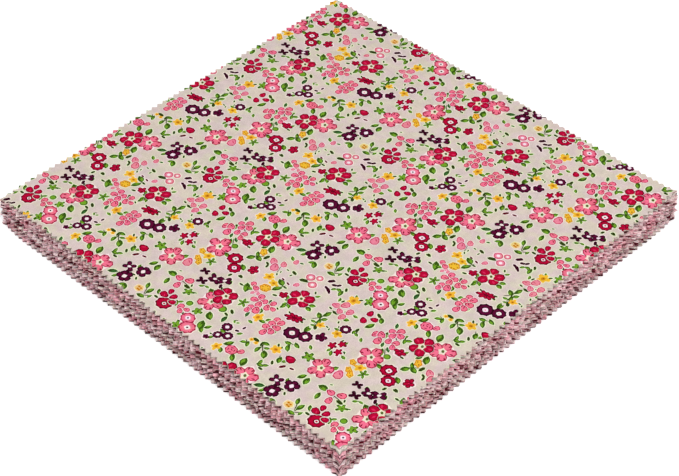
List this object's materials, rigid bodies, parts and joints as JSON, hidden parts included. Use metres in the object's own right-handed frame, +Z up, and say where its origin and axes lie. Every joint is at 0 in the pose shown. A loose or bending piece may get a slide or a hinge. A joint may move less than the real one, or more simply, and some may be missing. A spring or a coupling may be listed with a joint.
{
  "type": "stack of fabric squares",
  "caption": "Neat flat pile of pre-cut quilting cotton squares with pinked zigzag edges and a small floral print on the uppermost square.",
  "frame": {"origin": "on the surface that the pile lies on, under the middle of its outline", "axes": "+Z up through the layers, X and Y along the sides of the squares"},
  "size_m": [0.2568, 0.2574, 0.0173],
  "materials": {
    "floral_cotton": "matte plain weave, printed",
    "rose_cotton": "matte plain weave, printed",
    "mauve_cotton": "matte plain weave, printed",
    "pink_cotton": "matte plain weave, printed",
    "grey_cotton": "matte plain weave, printed",
    "crimson_cotton": "matte plain weave, printed"
  },
  "bodies": {
    "root": {"squares_01": "rose_cotton", "squares_02": "mauve_cotton", "squares_03": "pink_cotton", "squares_04": "grey_cotton", "squares_05": "rose_cotton", "squares_06": "crimson_cotton", "squares_07": "mauve_cotton", "squares_08": "floral_cotton"}
  },
  "joints": []
}
